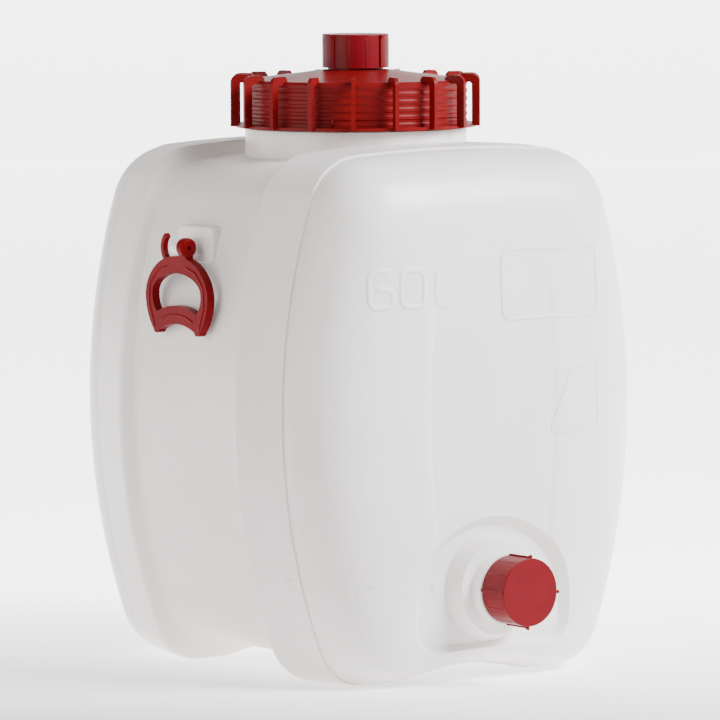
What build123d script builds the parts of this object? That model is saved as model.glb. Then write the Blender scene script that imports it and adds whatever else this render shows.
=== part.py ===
from build123d import *
import math
import os

os.makedirs("parts", exist_ok=True)

# Frame: Z is up through the neck, the floor is z = 0, the outlet looks along -Y,
# the two carrying handles are on the -X and +X sides. All sizes are millimetres.

# Tank, seen from the front
lobe_half = 210.2        # half width of a lobe at its widest
belly_z = 252.0          # height of the widest place
side_radius = 592.0      # barrel curve of the sides
crown_radius = 1500.0    # slight crown of the roof
lobe_top = 495.0         # roof height of the lobes
top_corner = 56.0        # corner radius at the roof
foot_corner = 50.0       # corner radius at the feet
foot_flat = 0.4          # taken off under the feet, which leaves four flat pads
arch_height = 11.5       # rise of the arch between the feet
arch_half = 86.0         # half width of that arch
arch_share = 0.78        # but never more than this part of a narrow underside
arch_blend = 60.0        # rounding where the arch meets the feet
flat_arch = 0.6          # arch that is left where the underside is nearly flat

# Tank, front to back
band_half = 80.0         # half length of the sunk band that carries the handles
step_run = 11.2          # length of the slope from band to lobe
step_round = 6.0         # rounding at both ends of that slope
band_sink = 10.3         # how far the band lies inside the lobes at the sides
band_dip = 12.0          # how far its roof lies under the roof of the lobes
band_floor = 22.6        # underside of the band
shoulder_y = 146.6       # where a lobe ends and its cushion face starts
shoulder_sink = 14.4     # lobe narrows by this much from band to cushion
crease = 2.0             # ledge of the cushion all round
cushion_depth = 63.4     # cushion face, from its root to the middle of the face
cushion_power = 3.65     # fullness of the cushion curve
face_half = 72.0         # half width of the flat middle of the face
face_roof = 104.6        # from the roof of the cushion down to that middle
face_foot = 60.8         # from the underside of the cushion up to it
face_bow = 800.0         # barrel curve of its sides
face_corner = 0.45       # part of the corner radii that is left there
wall = 4.0

# Main neck
shelf_rise = 22.6        # shelf under the lid, over the roof of the band
neck_reach = 39.4        # neck over that shelf
thread_root = 98.2
thread_depth = 2.4
shelf_step = 4.0         # shelf is this much wider than the thread
neck_wall = 4.7
gasket_thick = 3.0
flat_gap = 0.1           # between faces that close on each other
turn_gap = 0.3           # between round faces that turn in each other

# Screw lid
lid_lift = 1.3           # from the shelf to the lid
thread_gap = 1.7         # from the crest of the thread to the lid wall
lid_wall = 3.0
lid_roof = 3.7           # lid over its gasket
lid_edge = 2.4           # bevel from the wall to the roof
flange_reach = 8.3
flange_thick = 3.0
dome_rise = 8.8
dome_skin = 3.4
seal_land = 1.5          # roof under the lid reaches this far inside the neck
dome_bend = 0.6          # part of the radius where the dome gets flatter
dome_bend_rise = 0.52    # part of its rise at that place
groove_count = 5
groove_depth = 0.8
groove_half = 2.4        # half height of a groove at its mouth
groove_floor = 1.0       # half height of its floor
rib_count = 18
rib_thick = 3.6
rib_stand = 6.3          # free air between the lid wall and a grip loop
rib_deep = 7.6           # grip loop, measured along the radius
rib_foot = 1.0           # loop starts this far over the underside of the flange
rib_rise = 5.0           # loop over the edge of the roof
rib_corner = 7.5
rib_landing = 6.8        # loop lands on the roof this far inside the wall
rib_root = 1.5           # how far a loop runs into the lid
rib_bevel = 3.0
view_turn = -128.0       # one loop faces this way

# Small caps, one on the lid and one on the outlet
spout_bore = 21.0
spout_wall = 5.4
spout_thread = 1.6       # depth of the thread on a spout
cap_gap = 0.9            # from the crest of that thread to the cap
cap_wall = 2.6
cap_top = 3.2
cap_length = 31.5
cap_round = 1.0
cap_rib = 1.6
cap_rib_width = 3.0
cap_wing = 3.2
wing_drop = 9.0          # where a wing starts, under the closed end
seal_thick = 2.0
vent_lift = 1.9          # from the top of the dome to the vent cap
vent_turn = 12.0
spout_ledge = 5.0        # flat ring of the dome round the vent spout

# Outlet
outlet_z = 88.6
recess_half = 91.0
recess_rise = 66.0
recess_drop = 60.0
recess_spring = 15.0     # its arch springs this far under the outlet
recess_depth = 8.0
recess_slope = 9.0
recess_corner = 26.0
boss_height = 17.0
boss_rim = 11.0          # boss is this much wider than the collar at its head
boss_flare = 8.0
collar_rim = 1.5         # collar is this much wider than the cap
collar_reach = 12.6
cap_seat = 0.9           # from the collar to the cap
outlet_turn = -3.0

# Handles, drawn in the plane they hang in; zero is the pin
pivot_drop = 82.0        # pin under the roof of the band
pivot_stand = 23.66      # pin off the wall of the band
handle_thick = 8.3
ring_half = 49.5         # outside, widest
ring_wide_z = -47.0      # height of the widest place
ring_top = -8.0
ring_toe_y = 32.5        # the two toes of the grip
ring_toe_z = -81.0
ring_under = -71.0       # underside of the grip, middle
toe_half = 4.5
toe_rise = 3.5
open_half = 38.5
open_wide_z = -43.0
open_top = -24.0
open_low_y = 31.0
open_low_z = -61.0
open_mid_z = -54.0
open_bend = 9.0
open_draw = 1.0          # sides of the finger hole draw in by this much at the bend
eye_radius = 9.2
eye_length = 9.8
eye_y = -10.5
eye_round = 2.4
post_drop = 16.0
pin_radius = 3.0
pin_over = 1.5           # pin past the lug
pin_core = 1.7
pin_core_depth = 9.0
finger_width = 4.2
finger_thick = 5.4
finger_root = (16.0, -14.0)
finger_bow = (24.6, 0.0)
finger_tip = (19.0, 10.6)
lug_back = 5.0           # lug behind and before the middle of the drum
lug_front = 6.0
lug_radius = 7.5
lug_root = 40.0          # lug and pad start this far inside the pin
pad_stand = 6.2          # pad off the wall of the band
pad_half = 27.0
pad_below = 15.0
pad_above = 19.0
pad_corner = 6.0
pad_edge = 2.0
sink = 3.0               # how far a form starts inside the one that carries it
reach_in = 40.0          # the same for the neck, which starts inside the tank


# Derived
band_top = lobe_top - band_dip
face_y = shoulder_y + cushion_depth
neck_shelf = band_top + shelf_rise
neck_top = neck_shelf + neck_reach
thread_crest = thread_root + thread_depth
neck_radius = thread_crest + shelf_step
neck_bore = thread_root - neck_wall
lid_base = neck_shelf + lid_lift
lid_inner = thread_crest + thread_gap
lid_outer = lid_inner + lid_wall
lid_seat = neck_top + gasket_thick + flat_gap
dome_edge_z = lid_seat + lid_roof
dome_top_z = dome_edge_z + dome_rise
dome_bend_z = dome_edge_z + dome_bend_rise * dome_rise
lid_wall_top = dome_edge_z - lid_edge
spout_root = spout_bore + spout_wall
cap_inner = spout_root + spout_thread + cap_gap
cap_radius = cap_inner + cap_wall
cap_reach = cap_length - cap_top - seal_thick - flat_gap
vent_base = dome_top_z + vent_lift
collar_radius = cap_radius + collar_rim
boss_head = collar_radius + boss_rim
recess_floor = face_y - recess_depth
outlet_cap_base = recess_floor + boss_height + collar_reach + cap_seat
pivot_z = band_top - pivot_drop
band_bend = math.sqrt(side_radius ** 2 - (pivot_z - belly_z) ** 2)
band_side = lobe_half - band_sink - side_radius + band_bend      # wall of the band at the pin
pivot_x = band_side + pivot_stand


def cross(c1, r1, c2, r2, pick):
    """Crossing of two circles in the plane; pick chooses the upper or the right one."""
    dx, dy = c2[0] - c1[0], c2[1] - c1[1]
    gap = math.hypot(dx, dy)
    along = (r1 ** 2 - r2 ** 2 + gap ** 2) / (2 * gap)
    across = math.sqrt(r1 ** 2 - along ** 2)
    mx, my = c1[0] + along * dx / gap, c1[1] + along * dy / gap
    spots = [(mx + s * across * dy / gap, my - s * across * dx / gap) for s in (1, -1)]
    return max(spots, key=pick)


def reach(centre, radius, target):
    """Point on a circle in the direction of target."""
    dx, dy = target[0] - centre[0], target[1] - centre[1]
    size = math.hypot(dx, dy)
    return centre[0] + radius * dx / size, centre[1] + radius * dy / size


def bow(centre, radius, p, q):
    """Short arc from p to q about centre."""
    m = reach(centre, radius, ((p[0] + q[0]) / 2, (p[1] + q[1]) / 2))
    return Edge.make_three_point_arc(Vector(*p), Vector(*m), Vector(*q))


def flip(p):
    return -p[0], p[1]


def outline(half, low, top, r_low, r_top, arch, y, bow_radius=side_radius):
    """Barrel outline of the tank in the plane at distance y, seen from the front."""
    side = (half - bow_radius, belly_z)
    roof = (0, top - crown_radius)
    c_top = cross(side, bow_radius - r_top, roof, crown_radius - r_top, lambda p: p[1])
    top_in = reach(roof, crown_radius, c_top)
    top_out = reach(side, bow_radius, c_top)
    c_low = (side[0] + math.sqrt((bow_radius - r_low) ** 2 - (low + r_low - belly_z) ** 2), low + r_low)
    low_out = reach(side, bow_radius, c_low)
    low_in = (c_low[0], low)
    span = min(arch_half, arch_share * low_in[0])
    arch_r = (span ** 2 + arch ** 2) / (2 * arch)
    under = (0, low + arch - arch_r)
    blend = arch_blend
    c_toe = (math.sqrt((arch_r + blend) ** 2 - (low + blend - under[1]) ** 2), low + blend)
    toe_out = (c_toe[0], low)
    toe_in = reach(under, arch_r, c_toe)
    edges = [
        bow(roof, crown_radius, flip(top_in), top_in),
        bow(c_top, r_top, top_in, top_out),
        bow(side, bow_radius, top_out, low_out),
        bow(c_low, r_low, low_out, low_in),
        Edge.make_line(Vector(*low_in), Vector(*toe_out)),
        bow(c_toe, blend, toe_out, toe_in),
        bow(under, arch_r, toe_in, flip(toe_in)),
        bow(flip(c_toe), blend, flip(toe_in), flip(toe_out)),
        Edge.make_line(Vector(*flip(toe_out)), Vector(*flip(low_in))),
        bow(flip(c_low), r_low, flip(low_in), flip(low_out)),
        bow(flip(side), bow_radius, flip(low_out), flip(top_out)),
        bow(flip(c_top), r_top, flip(top_out), flip(top_in)),
    ]
    place = Plane(origin=(0, y, 0), x_dir=(1, 0, 0), z_dir=(0, -1, 0))
    return place * Face(Wire(edges))


def cushion_point(share):
    """Share of the cushion depth reached at a share of its inset."""
    return math.sqrt(1 - (1 - share) ** cushion_power)


def cushion(skin):
    """Front cushion face, inset from the outside by skin; the hidden inside is made plainer."""
    half = lobe_half - shoulder_sink - crease - skin
    top = lobe_top - 2 * crease - skin
    low = crease / 2 + skin
    faces = []
    for share in (0.0, 0.012, 0.05, 0.12, 0.24, 0.42, 0.68, 1.0):
        fade = 1 - share
        corner = face_corner + (1 - face_corner) * fade
        faces.append(outline(
            half - share * (half - face_half),
            low + share * (face_foot - skin / 2),
            top - share * (face_roof - skin),
            (foot_corner - skin) * corner,
            (top_corner - skin) * corner,
            flat_arch + (arch_height - flat_arch) * fade ** 2,
            -shoulder_y - (cushion_depth - skin) * cushion_point(share),
            side_radius + share * (face_bow - side_radius),
        ))
    return loft(faces, ruled=skin > 0)


def lobe(skin):
    """Tapered front lobe with the slope down to the band, inset by skin."""
    root = band_root(skin)
    r_low, r_top = foot_corner - skin, top_corner - skin
    low = skin - foot_flat
    half, top = lobe_half - skin, lobe_top - skin
    edge = outline(half, low, top, r_low, r_top, arch_height, -root - step_run)
    end = outline(half - shoulder_sink, low, top - crease, r_low, r_top, arch_height, -shoulder_y)
    return loft([edge, end], ruled=True) + loft([band_face(skin, -root), edge], ruled=True)


def band_root(skin):
    """Distance from the middle at which the slope of the lobe starts."""
    return band_half + skin * (math.sqrt(2) - 1)


def band_face(skin, y):
    return outline(
        lobe_half - band_sink - skin,
        band_floor + skin,
        band_top - skin,
        foot_corner - skin,
        top_corner - skin,
        flat_arch,
        y,
    )


def edges_at(shape, y):
    """Edges that lie in the plane at distance y."""
    found = []
    for edge in shape.edges():
        box = edge.bounding_box()
        if abs(box.min.Y - y) < flat_gap and abs(box.max.Y - y) < flat_gap:
            found.append(edge)
    return found


def tank_mass(skin, rounding=0):
    """Whole tank form without openings, inset by skin."""
    root = band_root(skin)
    band = extrude(band_face(skin, 0), root, both=True)
    front = lobe(skin) + cushion(skin)
    mass = band + front + front.mirror(Plane.XZ)
    if rounding:
        for y in (root + step_run, -root - step_run, root, -root):
            mass = fillet(edges_at(mass, y), rounding)
    return mass


def arch_face(grow, y):
    """Arch shaped outline of the outlet recess, grown by grow."""
    half = recess_half + grow
    spring = outlet_z - recess_spring
    rise = recess_rise + recess_spring + grow
    low = outlet_z - recess_drop - grow
    corner = recess_corner + grow
    right, left = (half - corner, low + corner), (corner - half, low + corner)
    edges = [
        Edge.make_ellipse(half, rise, Plane.XY.offset(0).move(Location((0, spring, 0))), 0, 180),
        Edge.make_line((-half, spring), (-half, low + corner)),
        bow(left, corner, (-half, low + corner), (corner - half, low)),
        Edge.make_line((corner - half, low), (half - corner, low)),
        bow(right, corner, (half - corner, low), (half, low + corner)),
        Edge.make_line((half, low + corner), (half, spring)),
    ]
    return Plane(origin=(0, y, 0), x_dir=(1, 0, 0), z_dir=(0, -1, 0)) * Face(Wire(edges))


def recess(skin):
    """Room taken out of the front for the outlet, grown by skin."""
    floor = recess_floor - skin
    out = face_y + recess_depth
    slope = recess_slope / recess_depth
    inner = arch_face(skin - recess_slope, -floor)
    outer = arch_face(skin - recess_slope + slope * (out - floor), -out)
    return loft([inner, outer], ruled=True)


def at_front(shape, y):
    """Turn a shape drawn along +Z so that it points out of the front from distance y."""
    return Plane(origin=(0, -y, outlet_z), x_dir=(1, 0, 0), z_dir=(0, -1, 0)) * shape


def tube(radius, low, high):
    return Pos(0, 0, low) * Cylinder(radius, high - low, align=(Align.CENTER, Align.CENTER, Align.MIN))


def frustum(r_low, r_high, low, high):
    return Pos(0, 0, low) * Cone(r_low, r_high, high - low, align=(Align.CENTER, Align.CENTER, Align.MIN))


def outlet_outside():
    boss = frustum(boss_head + boss_flare, boss_head, 0, boss_height + sink)
    collar = tube(collar_radius, 0, sink + boss_height + collar_reach)
    spout = tube(spout_root, 0, sink + boss_height + collar_reach + cap_seat + cap_reach)
    return at_front(boss + collar + spout, recess_floor - sink)


def outlet_inside():
    floor = recess_floor - wall - sink
    hollow = frustum(boss_head + boss_flare - wall, boss_head - wall, 0, boss_height + sink)
    bore = tube(spout_bore, 0, outlet_cap_base + cap_length - floor)
    return at_front(hollow + bore, floor)


def lug():
    """Tab that carries one handle, with the raised pad under it, and the hole for the pin."""
    root = pivot_x - lug_root
    pad_x = band_side + pad_stand
    pad = Pos(-(root + pad_x) / 2, 0, pivot_z + (pad_above - pad_below) / 2) * Box(
        pad_x - root, 2 * pad_half, pad_above + pad_below
    )
    pad = fillet(pad.edges().filter_by(Axis.X), pad_corner)
    pad = fillet(pad.faces().sort_by(Axis.X)[0].edges(), pad_edge)
    middle = (lug_front - lug_back) / 2
    deep = lug_front + lug_back
    tab = Pos(-(root + pivot_x) / 2, middle, pivot_z) * Box(lug_root, deep, 2 * lug_radius)
    nose = Pos(-pivot_x, middle, pivot_z) * Rot(90, 0, 0) * Cylinder(lug_radius, deep)
    hole = Pos(-pivot_x, middle, pivot_z) * Rot(90, 0, 0) * Cylinder(pin_radius + turn_gap, 2 * deep)
    return pad + tab + nose, hole


def drum_body():
    lug_left, hole_left = lug()
    turn = Rot(0, 0, 180)
    neck = tube(neck_radius, band_top - reach_in, neck_shelf) + tube(thread_root, neck_shelf - sink, neck_top)
    outside = split(tank_mass(0, step_round), bisect_by=Plane.XY, keep=Keep.TOP)
    outside = outside - recess(0) + outlet_outside() + neck + lug_left + turn * lug_left
    inside = tank_mass(wall) - recess(wall)
    inside = inside + outlet_inside() + tube(neck_bore, band_top - reach_in, neck_top + sink)
    return outside - inside - hole_left - turn * hole_left


def lid_profile():
    """Half section of the lid, radius against height."""
    z0 = lid_base + flange_thick
    rim = lid_outer + flange_reach
    points = [(lid_inner, lid_base), (rim, lid_base), (rim, z0), (lid_outer, z0)]
    step = (lid_wall_top - z0) / (groove_count + 0.5)
    for i in range(groove_count):
        z = z0 + step * (i + 0.75)
        points += [
            (lid_outer, z - groove_half),
            (lid_outer - groove_depth, z - groove_floor),
            (lid_outer - groove_depth, z + groove_floor),
            (lid_outer, z + groove_half),
        ]
    points += [
        (lid_outer, lid_wall_top),
        (lid_outer - lid_edge, dome_edge_z),
        (dome_bend * lid_outer, dome_bend_z),
        (spout_root + spout_ledge, dome_top_z),
        (spout_root, dome_top_z),
        (spout_root, vent_base + cap_reach),
        (spout_bore, vent_base + cap_reach),
        (spout_bore, dome_top_z - dome_skin),
        (dome_bend * lid_outer, dome_bend_z - dome_skin),
        (neck_bore - seal_land, lid_seat),
        (lid_inner, lid_seat),
    ]
    return points


def lid_rib():
    """One grip loop of the lid, standing off the wall like an arch."""
    foot = lid_base + rib_foot
    top = dome_edge_z + rib_rise
    under = lid_wall_top - rib_foot / 2
    inner = lid_outer + rib_stand
    outer = inner + rib_deep
    landing = lid_outer - rib_landing
    shoulder = outer - rib_corner
    bend = rib_corner * math.sqrt(0.5)
    arc = Edge.make_three_point_arc(
        Vector(outer, top - rib_corner),
        Vector(shoulder + bend, top - rib_corner + bend),
        Vector(shoulder, top),
    )
    points = [
        (shoulder, top), (landing + rib_bevel, top), (landing, top - rib_bevel),
        (landing, dome_edge_z - rib_root), (lid_outer - rib_root, under), (inner - rib_root, under),
        (inner, under - rib_root), (inner, foot), (outer, foot), (outer, top - rib_corner),
    ]
    edges = [arc] + [Edge.make_line(Vector(*p), Vector(*q)) for p, q in zip(points, points[1:])]
    return extrude(Plane.XZ * Face(Wire(edges)), rib_thick / 2, both=True)


def screw_lid():
    wires = Wire.make_polygon([Vector(r, 0, z) for r, z in lid_profile()], close=True)
    lid = revolve(Face(wires), Axis.Z)
    rib = lid_rib()
    return lid + [Rot(0, 0, view_turn + 360 / rib_count * i) * rib for i in range(rib_count)]


def ring(r_in, r_out, low, high):
    return tube(r_out, low, high) - tube(r_in, low - 1, high + 1)


def small_cap():
    """Screw cap drawn with its open end at zero and its closed end up."""
    cap = tube(cap_radius, 0, cap_length) - tube(cap_inner, -sink, cap_length - cap_top)
    cap = fillet(cap.faces().sort_by(Axis.Z)[-1].edges(), cap_round)
    rib = Pos(cap_radius, 0, 0) * Box(
        2 * cap_rib, cap_rib_width, cap_length - cap_round, align=(Align.CENTER, Align.CENTER, Align.MIN)
    )
    base, tip, top = cap_radius - cap_round, cap_radius + cap_wing, cap_length - cap_round
    wing = Wire.make_polygon([
        (base, 0, cap_length - wing_drop), (tip - cap_round, 0, top - 2 * cap_round),
        (tip, 0, top), (base, 0, top),
    ], close=True)
    wing = extrude(Face(wing), cap_rib_width / 2, both=True)
    return cap + [Rot(0, 0, 90 * i) * (rib + wing) for i in range(4)]


def seal():
    low = cap_length - cap_top - seal_thick
    return ring(spout_bore, cap_inner - turn_gap, low, low + seal_thick - flat_gap)


def oval(half, rise, z):
    """Upper half of an ellipse about (0, z)."""
    return Edge.make_ellipse(half, rise, Plane(origin=(0, z, 0)), 0, 180)


def tri_arc(p, q, r):
    return Edge.make_three_point_arc(Vector(*p), Vector(*q), Vector(*r))


def bar(radius, y0, y1):
    """Round bar along the pin, from y0 to y1."""
    return Pos((y0 + y1) / 2, 0, 0) * Rot(0, 90, 0) * Cylinder(radius, y1 - y0)


def grip_plate():
    """Outline of the grip with its finger hole."""
    hip = 0.5 * (ring_half + ring_toe_y) + toe_half
    shank = 0.5 * (ring_wide_z + ring_toe_z)
    toe_out = (ring_toe_y + toe_half, ring_toe_z + toe_rise)
    toe_in = (ring_toe_y - toe_half, ring_toe_z + toe_rise)
    outside = [
        oval(ring_half, ring_top - ring_wide_z, ring_wide_z),
        tri_arc((-ring_half, ring_wide_z), (-hip, shank), flip(toe_out)),
        tri_arc(flip(toe_out), (-ring_toe_y, ring_toe_z), flip(toe_in)),
        tri_arc(flip(toe_in), (0, ring_under), toe_in),
        tri_arc(toe_in, (ring_toe_y, ring_toe_z), toe_out),
        tri_arc(toe_out, (hip, shank), (ring_half, ring_wide_z)),
    ]
    bend = (open_half - open_draw, open_wide_z - open_bend)
    inside = [
        oval(open_half, open_top - open_wide_z, open_wide_z),
        tri_arc((-open_half, open_wide_z), flip(bend), (-open_low_y, open_low_z)),
        tri_arc((-open_low_y, open_low_z), (0, open_mid_z), (open_low_y, open_low_z)),
        tri_arc((open_low_y, open_low_z), bend, (open_half, open_wide_z)),
    ]
    return Face(Wire(outside)) - Face(Wire(inside))


def handle():
    """Carrying handle in its own plane: x is to the rear, y is up, the pin is at zero."""
    grip = extrude(grip_plate(), handle_thick / 2, both=True)
    finger = ThreePointArc(finger_root, finger_bow, finger_tip)
    finger = extrude(trace(finger, finger_width), finger_thick / 2, both=True)
    post = Pos(eye_y, -post_drop / 2, 0) * Box(eye_length, post_drop, handle_thick)
    eye = bar(eye_radius, eye_y - eye_length / 2, eye_y + eye_length / 2)
    eye = fillet(eye.edges().filter_by(GeomType.CIRCLE), eye_round)
    pin = bar(pin_radius, eye_y, lug_front + pin_over)
    core = bar(pin_core, eye_y - eye_length, eye_y - eye_length / 2 + pin_core_depth)
    place = Plane(origin=(-pivot_x, 0, pivot_z), x_dir=(0, 1, 0), z_dir=(1, 0, 0))
    return place * (grip + finger + post + eye + pin - core)


body = drum_body()
lid = screw_lid()
gasket = ring(neck_bore + turn_gap, lid_inner - turn_gap, neck_top + flat_gap, neck_top + gasket_thick)
on_lid = Pos(0, 0, vent_base) * Rot(0, 0, vent_turn)
left = handle()
parts = {
    "drum_body": body,
    "screw_lid": lid,
    "lid_gasket": gasket,
    "vent_cap": on_lid * small_cap(),
    "vent_cap_gasket": on_lid * seal(),
    "outlet_cap": at_front(Rot(0, 0, outlet_turn) * small_cap(), outlet_cap_base),
    "outlet_cap_gasket": at_front(seal(), outlet_cap_base),
    "handle_left": left,
    "handle_right": Rot(0, 0, 180) * left,
}
for name, shape in parts.items():
    print(name, shape.is_valid, len(shape.solids()), round(shape.volume), shape.bounding_box())
    export_step(shape, f"parts/{name}.step")
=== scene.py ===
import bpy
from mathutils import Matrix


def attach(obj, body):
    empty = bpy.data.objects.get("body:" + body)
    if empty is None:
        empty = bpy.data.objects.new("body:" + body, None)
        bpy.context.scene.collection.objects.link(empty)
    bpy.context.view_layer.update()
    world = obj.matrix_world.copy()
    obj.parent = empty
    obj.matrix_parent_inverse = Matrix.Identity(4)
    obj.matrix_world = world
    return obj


bl_info = {
    "name": "Plastic drum looks",
    "version": (1, 0, 0),
    "blender": (4, 5, 0),
    "location": "3D View > Sidebar > Drum",
    "description": "Finishes, moulded marks, threads and studio for the 60 litre plastic drum",
    "category": "Object",
}

import math

import bpy
from bpy.props import FloatProperty, FloatVectorProperty, IntProperty, PointerProperty
from mathutils import Matrix, Vector
from mathutils.bvhtree import BVHTree

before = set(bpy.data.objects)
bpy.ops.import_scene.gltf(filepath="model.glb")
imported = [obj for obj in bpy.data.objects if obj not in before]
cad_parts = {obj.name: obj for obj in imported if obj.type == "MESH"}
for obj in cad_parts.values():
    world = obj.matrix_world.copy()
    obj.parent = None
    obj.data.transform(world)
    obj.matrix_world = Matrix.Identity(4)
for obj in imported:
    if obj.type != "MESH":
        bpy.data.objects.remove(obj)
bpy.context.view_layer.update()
MM = 0.001

# Sizes that the solids fix, in millimetres
NECK_SHELF = 505.6  # top of the collar under the lid
NECK_ROOT = 98.2  # radius of the neck between its threads
LID_INNER = 102.3
LID_OUTER = 105.3
LID_BASE = 506.9
SPOUT_ROOT = 26.4  # radius of a spout between its threads
CAP_INNER = 28.9
CAP_RADIUS = 31.5
VENT_BASE = 562.5  # lower edge of the vent cap
OUTLET_BASE = 232.5  # rear edge of the outlet cap, from the neck's axis
OUTLET_Z = 88.6
HANDLE_X = 204.5  # middle plane of a handle
HANDLE_Z = 401.0  # pin of a handle
HANDLE_THICK = 8.3

# Threads, in millimetres
NECK_THREAD_START = 9.0  # over the collar
NECK_THREAD_DEPTH = 2.4
LID_THREAD_DEPTH = 3.2
SPOUT_THREAD_START = 5.5  # over the cap's lower edge
SPOUT_THREAD_DEPTH = 1.6
CAP_THREAD_DEPTH = 1.9
THREAD_BITE = 0.3  # how far the foot of a ridge reaches into its wall
THREAD_FOOT = 0.26  # half width of a ridge at its foot, as a share of the pitch
THREAD_CREST = 0.10  # half width at its crest, likewise
THREAD_FADE = 0.2  # part of a turn over which a ridge fades in and out

# Upright lines of the caps and the stop of the lid, in millimetres and degrees
CAP_LINE_DEPTH = 0.45
CAP_LINE_WIDTH = 1.6
CAP_LINE_ENDS = (1.0, 28.5)  # over the cap's lower edge
CAP_LINE_TURNS = (30, 60)  # between two wings of a cap
VENT_TURN = 12.0  # first wing of the vent cap
OUTLET_TURN = -3.0  # first wing of the outlet cap
STOP_TURN = -139.0  # round the lid, from the right side of the drum
STOP_DEPTH = 2.2
STOP_WIDTH = 2.6
STOP_ENDS = (2.5, 11.0)  # over the lid's lower edge

# Moulded marks on the front, seen from the front: x and z in millimetres
FIGURE_LOW, FIGURE_HIGH = 352.5, 386.0
FIGURE_MIDDLE = (FIGURE_LOW + FIGURE_HIGH) / 2
FIGURE_SIX = [
    (-114, FIGURE_HIGH), (-138, FIGURE_HIGH), (-138, FIGURE_LOW),
    (-114, FIGURE_LOW), (-114, FIGURE_MIDDLE), (-134, FIGURE_MIDDLE),
]
FIGURE_ZERO = [(-105, FIGURE_HIGH), (-80, FIGURE_HIGH), (-80, FIGURE_LOW), (-105, FIGURE_LOW)]
FIGURE_LITRE = [(-66, FIGURE_HIGH), (-66, FIGURE_LOW), (-52, FIGURE_LOW)]
PLATE_FRAME = [(9, 401), (124, 399), (125, 336), (12, 336)]
SMALL_FRAME = [(92, 288), (124, 289), (125, 228), (66, 228)]
FIGURE_BEND, PLATE_BEND, SMALL_BEND = 8.0, 9.0, 6.0
SMALL_SHARE = 0.7  # stroke and height of the small frame against the large one
MARK_STEP = 4.0
RAY_START = -1.0  # metres; rays onto the front start here

# Beads of a handle, from its pin: y and z in millimetres
LIMB_BEAD = [(14, -18), (30, -22.5), (43, -36), (43.5, -54), (38, -68), (34.5, -77)]
GRIP_BEAD = [(-27, -69), (-14, -64), (0, -62.5), (14, -64), (27, -69)]
BEAD_BEND = 12.0
BEAD_STEP = 2.0
BEAD_WIDTH = 2.6
BEAD_HEIGHT = 0.7

# Sections of raised pieces: share of the width across, share of the height up. Their feet lie
# under the surface, so that no gap shows.
BAR_SINK = -0.4
BAR_SECTION = ((-0.5, BAR_SINK), (-0.38, 0.7), (0.0, 1.0), (0.38, 0.7), (0.5, BAR_SINK))
LINE_SINK = -0.35
LINE_SECTION = (
    (-0.5, LINE_SINK), (-0.37, 0.55), (-0.2, 1.0), (0.2, 1.0), (0.37, 0.55), (0.5, LINE_SINK)
)
BEND_PARTS = 6  # sections of a rounded bend
BEND_LIMIT = 0.48  # a bend takes at most this share of a side

# Stage, in metres; a light's place is so far back towards the camera, right and up from the aim
AIM = (0, 0, 0.32)
FLOOR_HALF = 24.0
FLOOR_CELLS = 24
WALL_AWAY = 9.0  # foot of the wall behind the drum
WALL_HALF = 7.0
WALL_RISE = 6.0
WALL_LEAN = 1.5  # its top lies so much further back than its foot
WALL_STEPS = 24
KEY_PLACE, KEY_SIZE, KEY_TINT = (0.75, 1.75, 1.35), 1.1, (0.95, 0.97, 1.0)
FILL_PLACE, FILL_SIZE, FILL_TINT = (1.8, -2.4, 0.9), 2.2, (1.0, 0.955, 0.92)
SENSOR_WIDTH = 36.0  # millimetres
VIEW_END = 100.0  # the camera draws nothing beyond this

# Colours that the settings don't hold
SPECK_TINT = (0.42, 0.38, 0.35)
SEAL_LIGHT, SEAL_DARK = (0.66, 0.64, 0.60), (0.54, 0.52, 0.48)
PAPER_LIGHT, PAPER_DARK = (0.92, 0.92, 0.92), (0.89, 0.89, 0.89)
DEEP_SHARE = 0.72  # darker clouds in the red against its own colour

# Sockets of the Mix node for colours
MIX_FACTOR, MIX_FIRST, MIX_SECOND, MIX_RESULT = 0, 6, 7, 2


# Settings that a user would change


class DrumTankSettings(bpy.types.PropertyGroup):
    """Colours and moulded marks of the tank"""

    tint: FloatVectorProperty(
        name="Tint", description="Natural polyethylene in full light",
        default=(0.83, 0.785, 0.76), subtype="COLOR",
    )
    shade: FloatVectorProperty(
        name="Shade", description="Thicker, slightly darker stretches",
        default=(0.70, 0.64, 0.60), subtype="COLOR",
    )
    mark_height: FloatProperty(
        name="Mark height", description="How far moulded marks stand off the skin",
        default=0.8 * MM, unit="LENGTH",
    )
    figure_width: FloatProperty(
        name="Figure stroke", description="Width of the strokes of the capacity figure",
        default=6.2 * MM, unit="LENGTH",
    )
    frame_width: FloatProperty(
        name="Frame stroke", description="Width of the raised plate frame",
        default=4.2 * MM, unit="LENGTH",
    )


class DrumRedSettings(bpy.types.PropertyGroup):
    """Colours and roughness of the red mouldings"""

    lid_red: FloatVectorProperty(
        name="Lid red", description="Colour of the screw lid",
        default=(0.150, 0.0045, 0.0055), subtype="COLOR",
    )
    cap_red: FloatVectorProperty(
        name="Cap red", description="Colour of both small caps",
        default=(0.140, 0.0026, 0.0062), subtype="COLOR",
    )
    handle_red: FloatVectorProperty(
        name="Handle red", description="Colour of the carrying handles",
        default=(0.160, 0.0028, 0.0052), subtype="COLOR",
    )
    roughness: FloatProperty(
        name="Roughness", description="Roughness of the red mouldings",
        default=0.30, min=0.0, max=1.0, subtype="FACTOR",
    )


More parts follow.
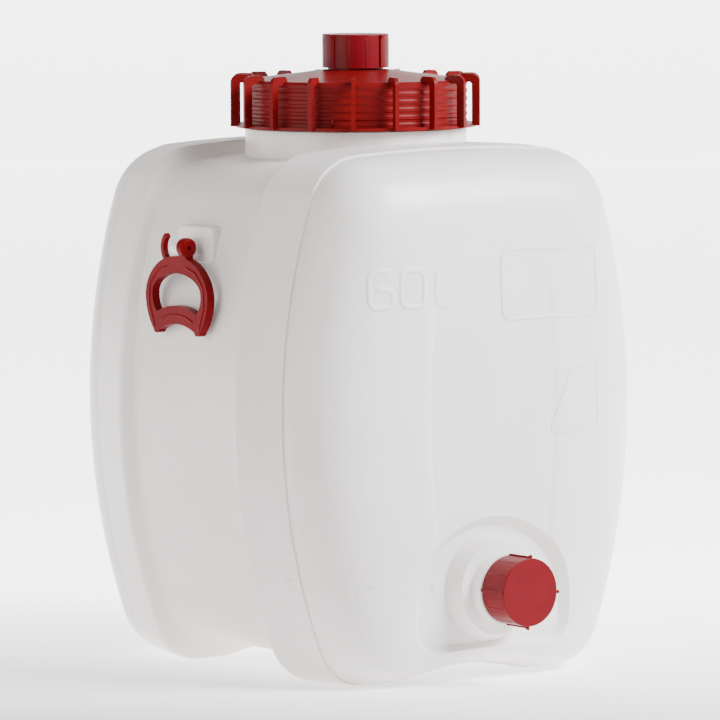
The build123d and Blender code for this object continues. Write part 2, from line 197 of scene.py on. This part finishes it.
class DrumThreadSettings(bpy.types.PropertyGroup):
    """Pitch and length of the threads"""

    neck_pitch: FloatProperty(
        name="Neck pitch", description="Rise for each turn of the lid",
        default=9.0 * MM, unit="LENGTH",
    )
    neck_turns: FloatProperty(
        name="Neck turns", description="Turns of thread on the neck", default=2.0
    )
    spout_pitch: FloatProperty(
        name="Spout pitch", description="Rise for each turn of a small cap",
        default=5.0 * MM, unit="LENGTH",
    )
    spout_turns: FloatProperty(
        name="Spout turns", description="Turns of thread on a spout", default=2.6
    )
    steps: IntProperty(
        name="Steps", description="Sections for each turn of a thread", default=60, min=12
    )


class DrumStageSettings(bpy.types.PropertyGroup):
    """Place and lens of the camera, and the studio's light"""

    azimuth: FloatProperty(
        name="Azimuth", description="Camera stands this far round to the left of the outlet",
        default=math.radians(36.852), subtype="ANGLE",
    )
    distance: FloatProperty(
        name="Distance", description="Camera from the drum's axis",
        default=5.7923, unit="LENGTH",
    )
    height: FloatProperty(
        name="Height", description="Camera over the floor", default=0.7795, unit="LENGTH"
    )
    pitch: FloatProperty(
        name="Pitch", description="Camera looks down by this",
        default=math.radians(4.879), subtype="ANGLE",
    )
    pan: FloatProperty(
        name="Pan", description="Camera looks right by this",
        default=math.radians(0.031), subtype="ANGLE",
    )
    roll: FloatProperty(
        name="Roll", description="Camera leans clockwise by this",
        default=math.radians(0.227), subtype="ANGLE",
    )
    lens: FloatProperty(
        name="Lens", description="Focal length in millimetres", default=306.69, unit="CAMERA"
    )
    key: FloatProperty(
        name="Key light", description="Power of the soft light on the right",
        default=168.0, unit="POWER",
    )
    fill: FloatProperty(
        name="Fill light", description="Power of the larger light on the left",
        default=70.0, unit="POWER",
    )
    sky: FloatProperty(
        name="Surround", description="Brightness of the white surround", default=0.32
    )
    glow: FloatProperty(
        name="Sweep glow", description="Light of the white sweep behind the drum", default=4.0
    )


# Shader maths


class Tap:
    """One shader socket; arithmetic on it adds the Math nodes that the expression needs."""

    def __init__(self, recipe, socket):
        self.recipe = recipe
        self.socket = socket

    def _math(self, operation, first, second):
        return self.recipe.add("ShaderNodeMath", {"operation": operation}, {0: first, 1: second})

    def __add__(self, other):
        return self._math("ADD", self, other)

    def __rsub__(self, other):
        return self._math("SUBTRACT", other, self)

    def __mul__(self, other):
        return self._math("MULTIPLY", self, other)

    __radd__ = __add__
    __rmul__ = __mul__


class Recipe:
    """A material being made: add gives its nodes, and dress puts it on a piece."""

    def __init__(self, name):
        self.material = bpy.data.materials.new(name)
        self.material.use_nodes = True
        self.tree = self.material.node_tree
        self.tree.nodes.clear()

    def add(self, kind, settings=None, sockets=None, output=0):
        """Add one node: its settings first, then the values or links of its sockets."""
        node = self.tree.nodes.new(kind)
        for key, value in (settings or {}).items():
            if key == "stops":
                self._stops(node.color_ramp, value)
            else:
                setattr(node, key, value)
        for key, value in (sockets or {}).items():
            if isinstance(value, Tap):
                self.tree.links.new(value.socket, node.inputs[key])
            else:
                node.inputs[key].default_value = value
        return Tap(self, node.outputs[output])

    @staticmethod
    def _stops(ramp, stops):
        """Give a ramp its grey stops, as pairs of place and level."""
        while len(ramp.elements) < len(stops):
            ramp.elements.new(0.5)
        for element, (place, level) in zip(ramp.elements, stops):
            element.position = place
            element.color = (level, level, level, 1.0)

    def where(self):
        """Place on the object, in metres."""
        return self.add("ShaderNodeTexCoord", output="Object")

    def stretched(self, scale):
        """Place on the object, scaled by itself along each axis."""
        sockets = {"Vector": self.where(), "Scale": scale}
        return self.add("ShaderNodeMapping", {"vector_type": "POINT"}, sockets)

    def along(self, direction):
        """Distance from the object's origin along a unit direction."""
        sockets = {0: self.where(), 1: direction}
        return self.add("ShaderNodeVectorMath", {"operation": "DOT_PRODUCT"}, sockets, "Value")

    def noise(self, scale, detail, place=None):
        """Smooth noise from 0 to 1."""
        sockets = {"Vector": place or self.where(), "Scale": scale, "Detail": detail}
        return self.add("ShaderNodeTexNoise", None, sockets, "Fac")

    def ramp(self, value, stops):
        """Value between 0 and 1, redrawn through stops of place and level."""
        return self.add("ShaderNodeValToRGB", {"stops": stops}, {"Fac": value})

    def blend(self, factor, first, second):
        """Mix of two colours, each a link or three numbers."""
        colours = [c if isinstance(c, Tap) else (*c, 1.0) for c in (first, second)]
        sockets = {MIX_FACTOR: factor, MIX_FIRST: colours[0], MIX_SECOND: colours[1]}
        return self.add("ShaderNodeMix", {"data_type": "RGBA"}, sockets, MIX_RESULT)

    def bump(self, height, depth, strength):
        """Fine relief for the shading; depth is in metres."""
        sockets = {"Height": height, "Distance": depth, "Strength": strength}
        return self.add("ShaderNodeBump", None, sockets)

    def finish(self, **sockets):
        """Close the recipe with a Principled shader whose sockets are given by name."""
        named = {key.replace("_", " "): value for key, value in sockets.items()}
        shader = self.add("ShaderNodeBsdfPrincipled", None, named)
        output = self.tree.nodes.new("ShaderNodeOutputMaterial")
        self.tree.links.new(shader.socket, output.inputs["Surface"])
        return self.material


def milky_plastic(tank):
    """Natural polyethylene, blown: soft satin skin with faint drawn lines and a cloudy wall."""
    made = Recipe("milky_plastic")
    cloud = made.noise(scale=7.0, detail=2.0)
    lines = made.noise(scale=1.0, detail=2.0, place=made.stretched((160.0, 160.0, 5.0)))
    grain = made.noise(scale=900.0, detail=2.0)
    wall = made.ramp(cloud * 0.75 + lines * 0.25, [(0.36, 0.0), (0.68, 1.0)])
    speck = made.ramp(made.noise(scale=48.0, detail=1.0), [(0.76, 0.0), (0.80, 1.0)])
    skin = made.blend(wall * 0.45, tank.tint, tank.shade)
    height = grain * 0.5 + lines * 0.5
    return made.finish(
        Base_Color=made.blend(speck * 0.3, skin, SPECK_TINT),
        Roughness=0.27 + 0.12 * cloud,
        Normal=made.bump(height, depth=0.12 * MM, strength=0.6),
        Subsurface_Weight=0.30,
        Subsurface_Radius=(1.0, 0.85, 0.75),
        Subsurface_Scale=0.012,
        IOR=1.5,
        Specular_IOR_Level=0.45,
    )


def red_plastic(name, red, roughness, scale, index):
    """Injection moulded polyethylene in red, with flow clouds and a fine leathery grain."""
    made = Recipe(name)
    flow = made.noise(scale=scale, detail=3.0)
    grain = made.noise(scale=1600.0, detail=2.0)
    deep = [DEEP_SHARE * level for level in red]
    cloud = made.ramp(flow, [(0.35, 0.0), (0.70, 1.0)])
    return made.finish(
        Base_Color=made.blend(cloud * 0.5, red, deep),
        Roughness=(roughness - 0.04) + 0.12 * flow,
        Normal=made.bump(grain * 0.7 + flow * 0.3, depth=0.08 * MM, strength=0.5),
        IOR=index,
        Specular_IOR_Level=0.4,
    )


def soft_seal():
    """Pale soft rubber of the gaskets."""
    made = Recipe("soft_seal")
    speck = made.noise(scale=2200.0, detail=2.0)
    return made.finish(
        Base_Color=made.blend(speck, SEAL_LIGHT, SEAL_DARK),
        Roughness=0.62 + 0.12 * speck,
        Normal=made.bump(speck, depth=0.1 * MM, strength=0.6),
    )


def sweep_paper(glow, ahead):
    """White sweep that glows behind the drum, so that no horizon shows; it fades upwards."""
    made = Recipe("sweep_paper")
    fibre = made.noise(scale=60.0, detail=4.0)
    behind = made.ramp(made.along(ahead) * 0.4 + 0.5, [(0.34, 0.0), (0.72, 1.0)])
    high = made.ramp(made.along((0.0, 0.0, 1.0)), [(0.45, 0.0), (0.95, 1.0)])
    return made.finish(
        Base_Color=made.blend(fibre * 0.4, PAPER_LIGHT, PAPER_DARK),
        Roughness=0.92,
        Specular_IOR_Level=0.1,
        Emission_Color=behind * (1 - 0.9 * high),
        Emission_Strength=glow,
    )


# Meshes


def piece(name, points, faces, material, body, slot):
    """New smooth mesh that rides on a body and wears the given finish; its slot is not used."""
    mesh = bpy.data.meshes.new(name)
    mesh.from_pydata([tuple(p) for p in points], [], faces)
    mesh.validate()
    mesh.shade_smooth()
    mesh.materials.append(material)
    made = bpy.data.objects.new(name, mesh)
    bpy.context.scene.collection.objects.link(made)
    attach(made, body)
    return made


def strip_faces(rows, width, start, closed):
    """Quads of a strip of rows of points, each of width points."""
    faces = []
    last = rows if closed else rows - 1
    for i in range(last):
        for j in range(width - 1):
            a = start + i * width + j
            b = start + (i + 1) % rows * width + j
            faces.append((a, b, b + 1, a + 1))
    return faces


def helix(radius, depth, pitch, turns, start, steps, outward):
    """Ridge of a right-handed thread on a round wall about Z, in metres; it fades in and out."""
    root, crest = THREAD_FOOT * pitch, THREAD_CREST * pitch
    fading = THREAD_FADE * steps
    sign = 1 if outward else -1
    count = int(turns * steps) + 1
    points = []
    for i in range(count):
        angle = 2 * math.pi * i / steps
        fade = min(1.0, i / fading, (count - 1 - i) / fading)
        level = start + pitch * i / steps
        foot, top = radius - sign * THREAD_BITE * MM, radius + sign * depth * fade
        section = ((foot, -root), (top, -crest), (top, crest), (foot, root))
        for r, dz in section:
            points.append(Vector((r * math.cos(angle), r * math.sin(angle), level + dz)))
    width, last = len(section), len(points)
    near_end, far_end = range(width), range(last - 1, last - width - 1, -1)
    return points, strip_faces(count, width, 0, False) + [tuple(near_end), tuple(far_end)]


def upright_bars(radius, depth, width, low, high, angles):
    """Thin rounded bars that stand on a round wall about Z."""
    points, faces = [], []
    levels = ((low, BAR_SINK), (low + width, 1.0), (high - width, 1.0), (high, BAR_SINK))
    for angle in angles:
        start = len(points)
        for level, rise in levels:
            for across, up in BAR_SECTION:
                r = radius + depth * min(up, rise)
                turn = angle + across * width / radius
                points.append(Vector((r * math.cos(turn), r * math.sin(turn), level)))
        faces += strip_faces(len(levels), len(BAR_SECTION), start, False)
    return points, faces


def to_outlet(points):
    """Turn points drawn about Z onto the outlet's axis, which points out of the front."""
    return [Vector((p.x, -p.z, p.y + OUTLET_Z * MM)) for p in points]


def rounded(corners, radius, closed, step):
    """Path through corners with rounded bends, cut into short steps, in millimetres."""
    count = len(corners)
    path = []
    for i, corner in enumerate(corners):
        here = Vector(corner)
        if not closed and i in (0, count - 1):
            path.append(here)
            continue
        to_last = Vector(corners[i - 1]) - here
        to_next = Vector(corners[(i + 1) % count]) - here
        longest = BEND_LIMIT * min(to_last.length, to_next.length)
        cut = min(radius / math.tan(to_last.angle(to_next) / 2), longest)
        first = here + to_last.normalized() * cut
        last = here + to_next.normalized() * cut
        for k in range(BEND_PARTS + 1):
            t = k / BEND_PARTS
            path.append(first * (1 - t) ** 2 + here * 2 * t * (1 - t) + last * t ** 2)
    if closed:
        path.append(path[0].copy())
    fine = [path[0]]
    for a, b in zip(path, path[1:]):
        parts = max(1, int((b - a).length / step))
        fine += [a.lerp(b, k / parts) for k in range(1, parts + 1)]
    return fine[:-1] if closed else fine


def raised_line(path, closed, width, height, lay):
    """Low rounded ridge along a flat path; lay puts a flat place on the surface.

    Widths and heights are in metres, the path in millimetres. lay returns the place in space and
    the direction out of the surface there.
    """
    points = []
    count = len(path)
    for i, here in enumerate(path):
        after = path[(i + 1) % count] if closed or i < count - 1 else here
        before = path[i - 1] if closed or i > 0 else here
        along = (after - before).normalized()
        side = Vector((-along.y, along.x))
        end = not closed and i in (0, count - 1)
        for across, up in LINE_SECTION:
            place, out = lay(here + side * across * width / MM)
            points.append(place + out * height * (LINE_SINK if end else up))
    return points, strip_faces(count, len(LINE_SECTION), 0, closed)


def merge(parts):
    """Join lists of points and faces into one."""
    points, faces = [], []
    for some, their in parts:
        faces += [tuple(index + len(points) for index in face) for face in their]
        points += some
    return points, faces


def skin_of(node):
    """Faces of a solid, for finding places on it."""
    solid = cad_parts[node]
    corners = [solid.matrix_world @ v.co for v in solid.data.vertices]
    return BVHTree.FromPolygons(corners, [tuple(p.vertices) for p in solid.data.polygons])


def onto_front(skin):
    """Lay a place seen from the front, in millimetres, on the front skin."""

    def lay(flat):
        far_out = Vector((flat.x * MM, RAY_START, flat.y * MM))
        hit, normal, _, _ = skin.ray_cast(far_out, Vector((0, 1, 0)))
        if hit is None:
            raise RuntimeError("a moulded mark misses the front of the tank")
        return hit, normal if normal.y < 0 else -normal

    return lay


def onto_handle(side, face):
    """Lay a place on a flat side of a handle: side is -1 on the left, face 1 away from the tank."""

    def lay(flat):
        x = side * (HANDLE_X + face * HANDLE_THICK / 2)
        return Vector((x, -side * flat.x, HANDLE_Z + flat.y)) * MM, Vector((side * face, 0, 0))

    return lay


def dress(node, material):
    """Put a finish on each slot of a solid."""
    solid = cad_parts[node]
    for slot in solid.material_slots:
        slot.material = material


def finish_of(name):
    """Finish that an earlier step has made."""
    found = bpy.data.materials.get(name)
    if found is None:
        raise RuntimeError(f"the finish {name} has not been made")
    return found


def ahead_of(azimuth):
    """Level direction in which a camera at this azimuth looks."""
    return Vector((math.sin(azimuth), math.cos(azimuth), 0))


def right_of(ahead):
    """Level direction to the right of a level one."""
    return Vector((ahead.y, -ahead.x, 0))


# Pieces


class DRUM_OT_stage(bpy.types.Operator):
    """Pale floor, white surround, soft studio lights and the camera of the photograph"""

    bl_idname = "drum.stage"
    bl_label = "Stage and camera"

    def execute(self, context):
        stage = context.scene.drum_stage
        ahead = ahead_of(stage.azimuth)
        paper = sweep_paper(stage.glow, ahead)
        self.floor(context, paper)
        self.backdrop(context, paper, ahead)
        self.surround(context, stage.sky)
        self.camera(context, stage)
        self.light(context, "key", stage.key, KEY_TINT, KEY_SIZE, KEY_PLACE, ahead)
        self.light(context, "fill", stage.fill, FILL_TINT, FILL_SIZE, FILL_PLACE, ahead)
        return {"FINISHED"}

    def floor(self, context, paper):
        """Flat floor, cut into cells."""
        line = [FLOOR_HALF * (2 * i / FLOOR_CELLS - 1) for i in range(FLOOR_CELLS + 1)]
        points = [(x, y, 0.0) for y in line for x in line]
        self.sheet(context, "floor", points, strip_faces(len(line), len(line), 0, False), paper)

    def backdrop(self, context, paper, ahead):
        """Curved white wall far behind the drum, which hides the end of the floor."""
        across = right_of(ahead) * WALL_HALF
        points = []
        for i in range(WALL_STEPS + 1):
            share = i / WALL_STEPS
            away = WALL_AWAY + WALL_LEAN * math.sin(share * math.pi / 2)
            place = ahead * away + Vector((0, 0, WALL_RISE * share ** 2))
            points += [place - across, place, place + across]
        wall = self.sheet(
            context, "backdrop", points, strip_faces(WALL_STEPS + 1, 3, 0, False), paper
        )
        wall.data.shade_smooth()

    def sheet(self, context, name, points, faces, paper):
        """One surface of the sweep, which is a stage piece and rides on nothing."""
        mesh = bpy.data.meshes.new(name)
        mesh.from_pydata(points, [], faces)
        mesh.materials.append(paper)
        made = bpy.data.objects.new(name, mesh)
        context.scene.collection.objects.link(made)
        return made

    def surround(self, context, level):
        """Even white light from all round."""
        world = bpy.data.worlds.new("surround")
        world.use_nodes = True
        background = world.node_tree.nodes["Background"]
        background.inputs["Color"].default_value = (1, 1, 1, 1)
        background.inputs["Strength"].default_value = level
        context.scene.world = world

    def light(self, context, name, power, tint, size, place, ahead):
        """Square soft light, turned to the aim."""
        back, right, up = place
        reach = -ahead * back + right_of(ahead) * right + Vector((0, 0, up))
        data = bpy.data.lights.new(name, "AREA")
        data.energy = power
        data.color = tint
        data.size = size
        lamp = bpy.data.objects.new(name, data)
        lamp.location = Vector(AIM) + reach
        lamp.rotation_euler = (-reach).to_track_quat("-Z", "Y").to_euler()
        context.scene.collection.objects.link(lamp)

    def camera(self, context, stage):
        """Camera of the photograph: level direction first, then pitch, then roll."""
        data = bpy.data.cameras.new("camera")
        data.lens = stage.lens
        data.sensor_width = SENSOR_WIDTH
        data.clip_end = VIEW_END
        eye = bpy.data.objects.new("camera", data)
        stand = -ahead_of(stage.azimuth) * stage.distance
        ahead = ahead_of(stage.azimuth + stage.pan)
        right = right_of(ahead)
        look = ahead * math.cos(stage.pitch) - Vector((0, 0, math.sin(stage.pitch)))
        top = right.cross(look)
        lean_right = right * math.cos(stage.roll) - top * math.sin(stage.roll)
        lean_top = top * math.cos(stage.roll) + right * math.sin(stage.roll)
        turn = Matrix((lean_right, lean_top, -look)).transposed()
        place = Matrix.Translation(stand + Vector((0, 0, stage.height)))
        eye.matrix_world = place @ turn.to_4x4()
        context.scene.collection.objects.link(eye)
        context.scene.camera = eye


class DRUM_OT_finishes(bpy.types.Operator):
    """Make the milky, red and seal finishes and put them on the solids"""

    bl_idname = "drum.finishes"
    bl_label = "Finishes"

    def execute(self, context):
        reds = context.scene.drum_reds
        milky = milky_plastic(context.scene.drum_tank)
        base = reds.roughness
        lid = red_plastic("lid_red", reds.lid_red, base + 0.02, scale=26.0, index=1.24)
        cap = red_plastic("cap_red", reds.cap_red, base + 0.04, scale=60.0, index=1.24)
        grip = red_plastic("handle_red", reds.handle_red, base + 0.02, scale=50.0, index=1.16)
        seal = soft_seal()
        wear = {
            "drum_body": milky, "screw_lid": lid, "vent_cap": cap, "outlet_cap": cap,
            "handle_left": grip, "handle_right": grip,
            "lid_gasket": seal, "vent_cap_gasket": seal, "outlet_cap_gasket": seal,
        }
        for node, material in wear.items():
            dress(node, material)
        return {"FINISHED"}


class DRUM_OT_capacity_mark(bpy.types.Operator):
    """Raised capacity figure and the two bare raised frames on the front"""

    bl_idname = "drum.capacity_mark"
    bl_label = "Capacity figure and frames"

    def execute(self, context):
        tank = context.scene.drum_tank
        milky = finish_of("milky_plastic")
        lay = onto_front(skin_of("drum_body"))
        stroke, height = tank.figure_width, tank.mark_height
        small_stroke, small_height = SMALL_SHARE * tank.frame_width, SMALL_SHARE * height
        marks = (
            ("figure_six", FIGURE_SIX, FIGURE_BEND, False, stroke, height),
            ("figure_zero", FIGURE_ZERO, FIGURE_BEND, True, stroke, height),
            ("figure_litre", FIGURE_LITRE, FIGURE_BEND, False, stroke, height),
            ("plate_frame", PLATE_FRAME, PLATE_BEND, True, tank.frame_width, height),
            ("small_frame", SMALL_FRAME, SMALL_BEND, True, small_stroke, small_height),
        )
        for name, corners, bend, closed, width, rise in marks:
            path = rounded(corners, bend, closed, MARK_STEP)
            points, faces = raised_line(path, closed, width, rise, lay)
            piece(name, points, faces, milky, "tank", "tank_plastic")
        return {"FINISHED"}


class DRUM_OT_threads(bpy.types.Operator):
    """Threads of the neck, the lid, both spouts and both small caps"""

    bl_idname = "drum.threads"
    bl_label = "Threads"

    def execute(self, context):
        sizes = context.scene.drum_threads
        milky, lid, cap = finish_of("milky_plastic"), finish_of("lid_red"), finish_of("cap_red")
        neck = (sizes.neck_pitch, sizes.neck_turns, sizes.steps)
        spout = (sizes.spout_pitch, sizes.spout_turns, sizes.steps)
        on_tank, on_lid = (milky, "tank", "tank_plastic"), (lid, "lid", "lid_plastic")
        low = NECK_SHELF + NECK_THREAD_START
        self.thread("neck_thread", NECK_ROOT, NECK_THREAD_DEPTH, low, True, neck, list, on_tank)
        self.thread("lid_thread", LID_INNER, LID_THREAD_DEPTH, low, False, neck, list, on_lid)
        for name, base, turned, on_holder, plug in (
            ("vent", VENT_BASE, list, on_lid, "vent_plug"),
            ("outlet", OUTLET_BASE, to_outlet, on_tank, "outlet_plug"),
        ):
            low = base + SPOUT_THREAD_START
            spout_name, cap_name = f"{name}_spout_thread", f"{name}_cap_thread"
            in_cap = (cap, plug, "cap_plastic")
            self.thread(
                spout_name, SPOUT_ROOT, SPOUT_THREAD_DEPTH, low, True, spout, turned, on_holder
            )
            self.thread(cap_name, CAP_INNER, CAP_THREAD_DEPTH, low, False, spout, turned, in_cap)
        return {"FINISHED"}

    def thread(self, name, radius, depth, low, outward, run, turned, wear):
        """One thread, in millimetres; an inner one lies half a pitch lower than the outer.

        run is its pitch, turns and steps, turned lays it on its axis, and wear is its finish, its
        body and its slot.
        """
        pitch, turns, steps = run
        start = low * MM if outward else low * MM - pitch / 2
        points, faces = helix(radius * MM, depth * MM, pitch, turns, start, steps, outward)
        piece(name, turned(points), faces, *wear)


class DRUM_OT_grip_lines(bpy.types.Operator):
    """Fine upright lines on both small caps and the stop on the lid"""

    bl_idname = "drum.grip_lines"
    bl_label = "Cap lines and lid stop"

    def execute(self, context):
        cap, lid = finish_of("cap_red"), finish_of("lid_red")
        for name, base, turn, body, turned in (
            ("vent", VENT_BASE, VENT_TURN, "vent_plug", list),
            ("outlet", OUTLET_BASE, OUTLET_TURN, "outlet_plug", to_outlet),
        ):
            angles = [
                math.radians(turn + 90 * i + step) for i in range(4) for step in CAP_LINE_TURNS
            ]
            low, high = [(base + end) * MM for end in CAP_LINE_ENDS]
            points, faces = upright_bars(
                CAP_RADIUS * MM, CAP_LINE_DEPTH * MM, CAP_LINE_WIDTH * MM, low, high, angles
            )
            piece(f"{name}_cap_lines", turned(points), faces, cap, body, "cap_plastic")
        low, high = [(LID_BASE + end) * MM for end in STOP_ENDS]
        stop = upright_bars(
            LID_OUTER * MM, STOP_DEPTH * MM, STOP_WIDTH * MM, low, high, [math.radians(STOP_TURN)]
        )
        piece("lid_stop", *stop, lid, "lid", "lid_plastic")
        return {"FINISHED"}


class DRUM_OT_handle_beads(bpy.types.Operator):
    """Raised beads along the limbs and the grip of both handles, on both flat sides"""

    bl_idname = "drum.handle_beads"
    bl_label = "Handle beads"

    def execute(self, context):
        red = finish_of("handle_red")
        paths = [LIMB_BEAD, [(-y, z) for y, z in LIMB_BEAD], GRIP_BEAD]
        for name, side, body in (("left", -1, "grip_left"), ("right", 1, "grip_right")):
            parts = []
            for face in (1, -1):
                lay = onto_handle(side, face)
                for corners in paths:
                    path = rounded(corners, BEAD_BEND, False, BEAD_STEP)
                    bead = raised_line(path, False, BEAD_WIDTH * MM, BEAD_HEIGHT * MM, lay)
                    parts.append(bead)
            points, faces = merge(parts)
            piece(f"handle_{name}_beads", points, faces, red, body, "handle_plastic")
        return {"FINISHED"}


class DRUM_PT_panel(bpy.types.Panel):
    """Lists the steps that dress the drum"""

    bl_idname = "DRUM_PT_panel"
    bl_label = "Plastic drum"
    bl_space_type = "VIEW_3D"
    bl_region_type = "UI"
    bl_category = "Drum"

    def draw(self, context):
        for name in STEPS:
            self.layout.operator(f"drum.{name}")


STEPS = ("stage", "finishes", "capacity_mark", "threads", "grip_lines", "handle_beads")
GROUPS = {
    "drum_tank": DrumTankSettings,
    "drum_reds": DrumRedSettings,
    "drum_threads": DrumThreadSettings,
    "drum_stage": DrumStageSettings,
}
CLASSES = (
    *GROUPS.values(),
    DRUM_OT_stage,
    DRUM_OT_finishes,
    DRUM_OT_capacity_mark,
    DRUM_OT_threads,
    DRUM_OT_grip_lines,
    DRUM_OT_handle_beads,
    DRUM_PT_panel,
)


def register():
    """Make the settings, the steps and the panel known."""
    for cls in CLASSES:
        bpy.utils.register_class(cls)
    for name, group in GROUPS.items():
        setattr(bpy.types.Scene, name, PointerProperty(type=group))


def unregister():
    """Take them out again."""
    for name in GROUPS:
        delattr(bpy.types.Scene, name)
    for cls in reversed(CLASSES):
        bpy.utils.unregister_class(cls)


def main():
    """Dress the drum step by step."""
    register()
    for name in STEPS:
        getattr(bpy.ops.drum, name)()


if __name__ == "__main__":
    main()
